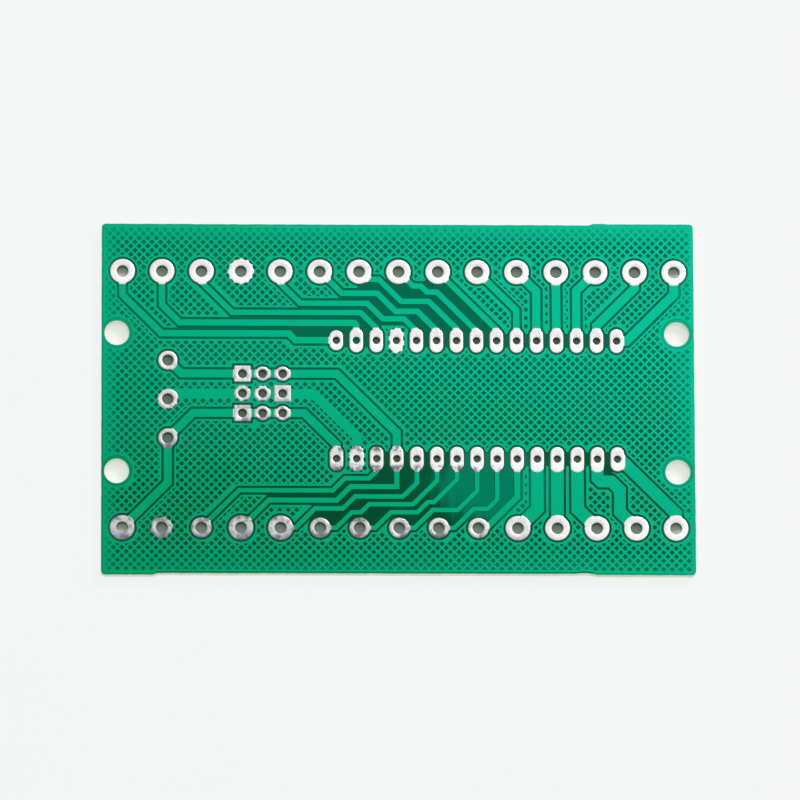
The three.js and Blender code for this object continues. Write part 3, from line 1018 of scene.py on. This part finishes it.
def mark_level(mesh):
    """Stores how far each point has risen on to the copper, for the mask's colour."""
    share = (places(mesh)[:, 2] - MASK_LOW) / (TOP - MASK_LOW)
    store(mesh, "over_copper", np.clip(share, 0, 1))


def back_opening(pad):
    if pad.back_square:
        half = square_half(pad.back_half) + PULLBACK
        return pad.centre + half * np.array(SQUARE_CORNERS, float)
    return ring(pad.centre, pad.back_half + PULLBACK, HOLE_POINTS)


def back_mask():
    """A level film, open round every pad."""
    overlay = Overlay(film_layers([back_opening(pad) for pad in PADS]))
    builder = Builder()
    builder.plate(overlay, overlay.within("board", but_not="open"), BOARD_BOTTOM, 0.0)
    builder.finish("back_solder_mask", BACK_GREEN, "solder_mask_back")


# ---- laminate --------------------------------------------------------------------------


def laminate():
    """The drilled board, its sawn edge a little hollow."""
    drills = [ring(pad.centre, pad.hole + PLATING, HOLE_POINTS) for pad in PADS]
    drills += [ring(c, r, MOUNT_POINTS) for c, r in MOUNTS]
    overlay = Overlay({"board": [shifted(SAWN_EDGE, EDGE_CHAMFER)], "holes": drills})
    solid = overlay.within("board", but_not="holes")
    builder = Builder()
    builder.level_faces(overlay, solid, BOARD_TOP, BOARD_BOTTOM)
    for path in chained(overlay.border(solid)):
        loop = overlay.points[path]
        rows = [(0, BOARD_TOP)]
        if area(loop) > 0:
            rows += [
                (EDGE_CHAMFER, BOARD_TOP - EDGE_CHAMFER),
                (EDGE_CHAMFER * 0.8, (BOARD_TOP + BOARD_BOTTOM) / 2),
                (EDGE_CHAMFER, BOARD_BOTTOM + EDGE_CHAMFER),
            ]
        rows += [(0, BOARD_BOTTOM)]
        builder.wall(loop, rows)
    builder.finish("glass_epoxy_board", GLASS_EPOXY, "fr4_laminate")


# ---- conductors ------------------------------------------------------------------------


def tin_reach(pad, angle, copper_at):
    """How far the tin runs out from the pad's centre: to the pad's edge, and on along
    any copper that crosses the ring of open mask."""
    inner = pad.radius(angle)
    outer = pad.radius(angle, pad.pullback - TIN_GAP)
    if pad.square:
        return inner if pad.pullback == PULLBACK else outer
    steps = 9  # places tried across the open ring
    share = np.linspace(0, 1, steps)
    radii = inner + share[:, None] * (outer - inner)
    points = np.stack([pad.at(angle, r) for r in radii])
    covered = copper_at(points.reshape(-1, 2)).reshape(steps, -1)
    covered[0] = True
    runs = np.cumprod(covered, axis=0).sum(axis=0) - 1
    return inner + runs / (steps - 1) * (outer - inner)


def add_pad(builder, pad, copper_at):
    """A pad on each face and the plated barrel between, as one closed rivet."""
    angle = pad.angles()
    reach = tin_reach(pad, angle, copper_at)
    hole = np.full(len(angle), pad.hole)
    drill = hole + PLATING
    back = back_radius(pad, angle)
    crown = TOP + CROWN
    rows = [  # distance from the centre, height
        (reach, BOARD_TOP),  # the front face, domed
        (reach, BOARD_TOP + 0.02),
        (reach - 0.03, TOP - 0.022),
        (reach - 0.09, TOP - 0.002),
        (reach * 0.62 + hole * 0.38, crown),
        (reach * 0.3 + hole * 0.7, crown - 0.004),
        (hole + 0.07, TOP - 0.012),  # the mouth of the hole, and the barrel
        (hole + 0.02, TOP - 0.04),
        (hole, TOP - 0.09),
        (hole, BOARD_BOTTOM + 0.03),
        (hole + 0.02, 0.024),
        (back * 0.5 + hole * 0.5, 0.0),  # the back face
        (back - 0.05, 0.012),
        (back, 0.035),
        (back, BOARD_BOTTOM),
        (drill, BOARD_BOTTOM),  # the barrel's outer wall
        (drill, BOARD_TOP),
    ]
    levels = [at_height(pad.at(angle, radius), height) for radius, height in rows]
    count = len(angle)
    faces = []
    for row in range(len(rows)):
        a, b = row * count, (row + 1) % len(rows) * count
        for i in range(count):
            j = (i + 1) % count
            faces.append((a + i, a + j, b + j, b + i))
    builder.add(np.concatenate(levels), faces)


def back_radius(pad, angle):
    if pad.back_square:
        return squared(square_half(pad.back_half), angle)
    return np.full(len(angle), pad.back_half)


def traced_net(net):
    """One net: its pads, and the foil between them."""
    copper = net.tracks + net.joints()
    builder = Builder()
    for pad in net.pads:
        add_pad(builder, pad, lambda points: inside_any(points, copper))
    overlay = Overlay(
        {"copper": copper, "pads": [pad.outline(-UNDER_TIN) for pad in net.pads]}
    )
    builder.plate(overlay, overlay.within("copper", but_not="pads"), FOIL_TOP, BOARD_TOP)
    made = builder.finish(net.node + "_copper", TIN, net.node)
    mark_tin(made.data, net.pads)


def inside_any(points, loops):
    within = np.zeros(len(points), bool)
    for loop in loops:
        within |= inside(points, [loop])
    return within


def ground_plane():
    """The hatched plane, with the pads that belong to it."""

    def copper_at(points):
        bands = np.zeros(len(points), bool)
        for start, end in zip(*ground_bands()):
            away = np.linalg.norm(points - nearest_on_run(start, end, points), axis=1)
            bands |= away < GROUND_BAND / 2
        return inside(points, PLANE) & (on_hatch_line(points) | bands)

    builder = Builder()
    for pad in GROUND.pads:
        add_pad(builder, pad, copper_at)
    overlay = Overlay(
        {
            "plane": PLANE,
            "cells": CELLS,
            "open": [pad.outline(pad.pullback) for pad in GROUND.pads],
        }
    )
    foil = overlay.within("plane", but_not="open") & (overlay.winding["cells"] == 0)
    builder.plate(overlay, foil, FOIL_TOP, BOARD_TOP)
    made = builder.finish("ground_plane_copper", TIN, "ground_plane")
    mark_tin(made.data, GROUND.pads)


def store(mesh, name, values):
    attribute = mesh.attributes.new(name, "FLOAT", "POINT")
    attribute.data.foreach_set("value", np.asarray(values, np.float32))


def places(mesh):
    """A mesh's vertices in millimetres."""
    flat = np.zeros(len(mesh.vertices) * 3, np.float32)
    mesh.vertices.foreach_get("co", flat)
    return flat.reshape(-1, 3) / MM


def mark_tin(mesh, pads):
    """Stores where each point lies: inside a plated hole, how high up its pad, how far out."""
    points = places(mesh)
    away = np.stack([points[:, :2] - pad.centre for pad in pads])
    nearest = np.abs(away).max(axis=2).argmin(axis=0)
    away = away[nearest, np.arange(len(points))]
    length = np.array([pad.half + pad.straight for pad in pads])[nearest]
    angle = np.arctan2(away[:, 1], away[:, 0])
    outline = np.stack([pad.radius(angle) for pad in pads])[nearest, np.arange(len(points))]
    store(mesh, "barrel", (points[:, 2] < TOP - 0.06) & (points[:, 2] > 0.03))
    store(mesh, "pad_height", away[:, 1] / length)
    store(mesh, "pad_reach", np.linalg.norm(away, axis=1) / outline)


# ---- stage -----------------------------------------------------------------------------

PADS_ALONG_Y = np.array([pad.centre[1] for pad in PADS])

FLOOR_TONE = (246, 248, 247)
FLOOR_REACH = 3000.0  # mm each way
FLOOR_GAP = 0.05  # keeps the floor clear of the board's underside
FLOOR_GLOW = 0.88  # what the sheet gives off
HOLE_GLOW = 0.46  # the same, seen through the mounting holes
DIM_GLOW = 0.04  # what comes through everywhere
SEEP_GLOW = 0.27  # light that reaches the floor through the board near its edges
SEEP_REACH = 11.0  # how far in from the edges it does
ROOM_DARKEST = 0.2
ROOM_BRIGHTEST = 1.0
ROOM_BRIGHT_SIDE = (0.35, 0.45, 0.82)  # the way to look for its brightest part
KEY_PLACE = (0.35, 0.45, 0.6)  # metres
KEY_SIZE = 0.25  # metres
KEY_POWER = 2.3
CAMERA_TARGET = (0.22, -0.2, 1.6)
CAMERA_DISTANCE = 1202.7
CAMERA_TURN = (10.92, -1.935, -0.213)  # degrees about X, Y and Z from straight down
CAMERA_LENS = 427.5


def lean_of_light(g):
    """Light falls into a hole from one side, so the floor under it is darker at the far end."""
    _, y, _ = g.axes()
    rows = [PADS_ALONG_Y.min(), PADS_ALONG_Y.max()]
    lower, upper = [g.ramp(y, row + 1.0, row - 0.3, 0.4, 1.5) for row in rows]
    in_upper_half = g.ramp(y, -1.0, 1.0)
    gap = g.math("SUBTRACT", upper, lower)
    return g.plus(lower, g.times(gap, in_upper_half))


def floor_glow(g):
    """Full outside the board, and below it only what seeps in from the edges and holes."""
    x, y, _ = g.axes()
    sides = ((x, LEFT, 1), (x, RIGHT, -1), (y, LOWER, 1), (y, UPPER, -1))
    seeping = [
        g.ramp(place, edge + way * SEEP_REACH, edge, 0.0, SEEP_GLOW)
        for place, edge, way in sides
    ]
    glow = [DIM_GLOW, g.times(g.highest(*seeping), lean_of_light(g))]
    for place, edge, way in sides:
        glow.append(g.ramp(place, edge + way * 0.5, edge + way * 0.2, 0.0, FLOOR_GLOW))
    for centre, radius in MOUNTS:
        away = g.distance_from((*centre, 0.0))
        glow.append(g.ramp(away, radius * 1.3, radius * 1.1, 0.0, HOLE_GLOW))
    return g.highest(*glow)


def add_floor():
    """A pale sheet that glows a little, so that it stays even and its shadows soft."""
    mesh = bpy.data.meshes.new("floor")
    reach = FLOOR_REACH * MM
    corner_points = [(x * reach, y * reach, -FLOOR_GAP * MM) for x, y in SQUARE_CORNERS]
    mesh.from_pydata(corner_points, [], [(0, 1, 2, 3)])
    g = Graph("pale_floor")
    paper = g.mix(g.noise(0.05), colour(*FLOOR_TONE), colour(*(c - 1 for c in FLOOR_TONE)))
    glow = floor_glow(g)
    # Painted light below the board: the floor there is tinted green and yellow, for light that
    # has come through the board.
    seeping = g.mix(g.ramp(glow, 0.17, 0.27), colour(178, 202, 184), colour(194, 200, 156))
    in_the_open = g.ramp(glow, 0.28, 0.36)
    below = g.mix(in_the_open, colour(200, 218, 196), paper)
    mesh.materials.append(
        g.set(
            Base_Color=g.mix(glow, below, colour(0, 0, 0)),
            Emission_Color=g.mix(in_the_open, seeping, paper),
            Emission_Strength=glow,
            Roughness=0.9,
            Specular_IOR_Level=0.0,
        )
    )
    floor = bpy.data.objects.new("floor", mesh)
    bpy.context.scene.collection.objects.link(floor)


def add_area_light(name, place, size, power):
    data = bpy.data.lights.new(name, "AREA")
    data.shape = "SQUARE"
    data.size = size
    data.energy = power
    light = bpy.data.objects.new(name, data)
    light.location = place
    light.rotation_euler = (-Vector(place)).to_track_quat("-Z", "Y").to_euler()
    bpy.context.scene.collection.objects.link(light)


def add_lights():
    """A bright room, darker low down and towards the lower left, and one soft key."""
    world = bpy.data.worlds.new("studio")
    world.use_nodes = True
    tree = world.node_tree
    direction = tree.nodes.new("ShaderNodeTexCoord").outputs["Generated"]
    towards_key = tree.nodes.new("ShaderNodeVectorMath")
    towards_key.operation = "DOT_PRODUCT"
    tree.links.new(direction, towards_key.inputs[0])
    towards_key.inputs[1].default_value = ROOM_BRIGHT_SIDE
    strength = tree.nodes.new("ShaderNodeMapRange")
    tree.links.new(towards_key.outputs["Value"], strength.inputs["Value"])
    strength.inputs["From Max"].default_value = 0.9
    strength.inputs["To Min"].default_value = ROOM_DARKEST
    strength.inputs["To Max"].default_value = ROOM_BRIGHTEST
    tree.links.new(strength.outputs["Result"], tree.nodes["Background"].inputs["Strength"])
    tree.nodes["Background"].inputs["Color"].default_value = (1.0, 1.0, 1.0, 1.0)
    bpy.context.scene.world = world
    add_area_light("key", KEY_PLACE, KEY_SIZE, KEY_POWER)


def add_camera():
    data = bpy.data.cameras.new("camera")
    data.lens = CAMERA_LENS
    data.sensor_width = 36
    data.clip_end = 20
    camera = bpy.data.objects.new("camera", data)
    turn = Euler([math.radians(a) for a in CAMERA_TURN])
    away = turn.to_matrix() @ Vector((0, 0, CAMERA_DISTANCE))
    camera.location = (Vector(CAMERA_TARGET) + away) * MM
    camera.rotation_euler = turn
    bpy.context.scene.collection.objects.link(camera)
    bpy.context.scene.camera = camera


laminate()
front_mask()
back_mask()
for traced in TRACED:
    traced_net(traced)
ground_plane()
add_floor()
add_lights()
add_camera()
bpy.context.scene.view_settings.view_transform = "Standard"
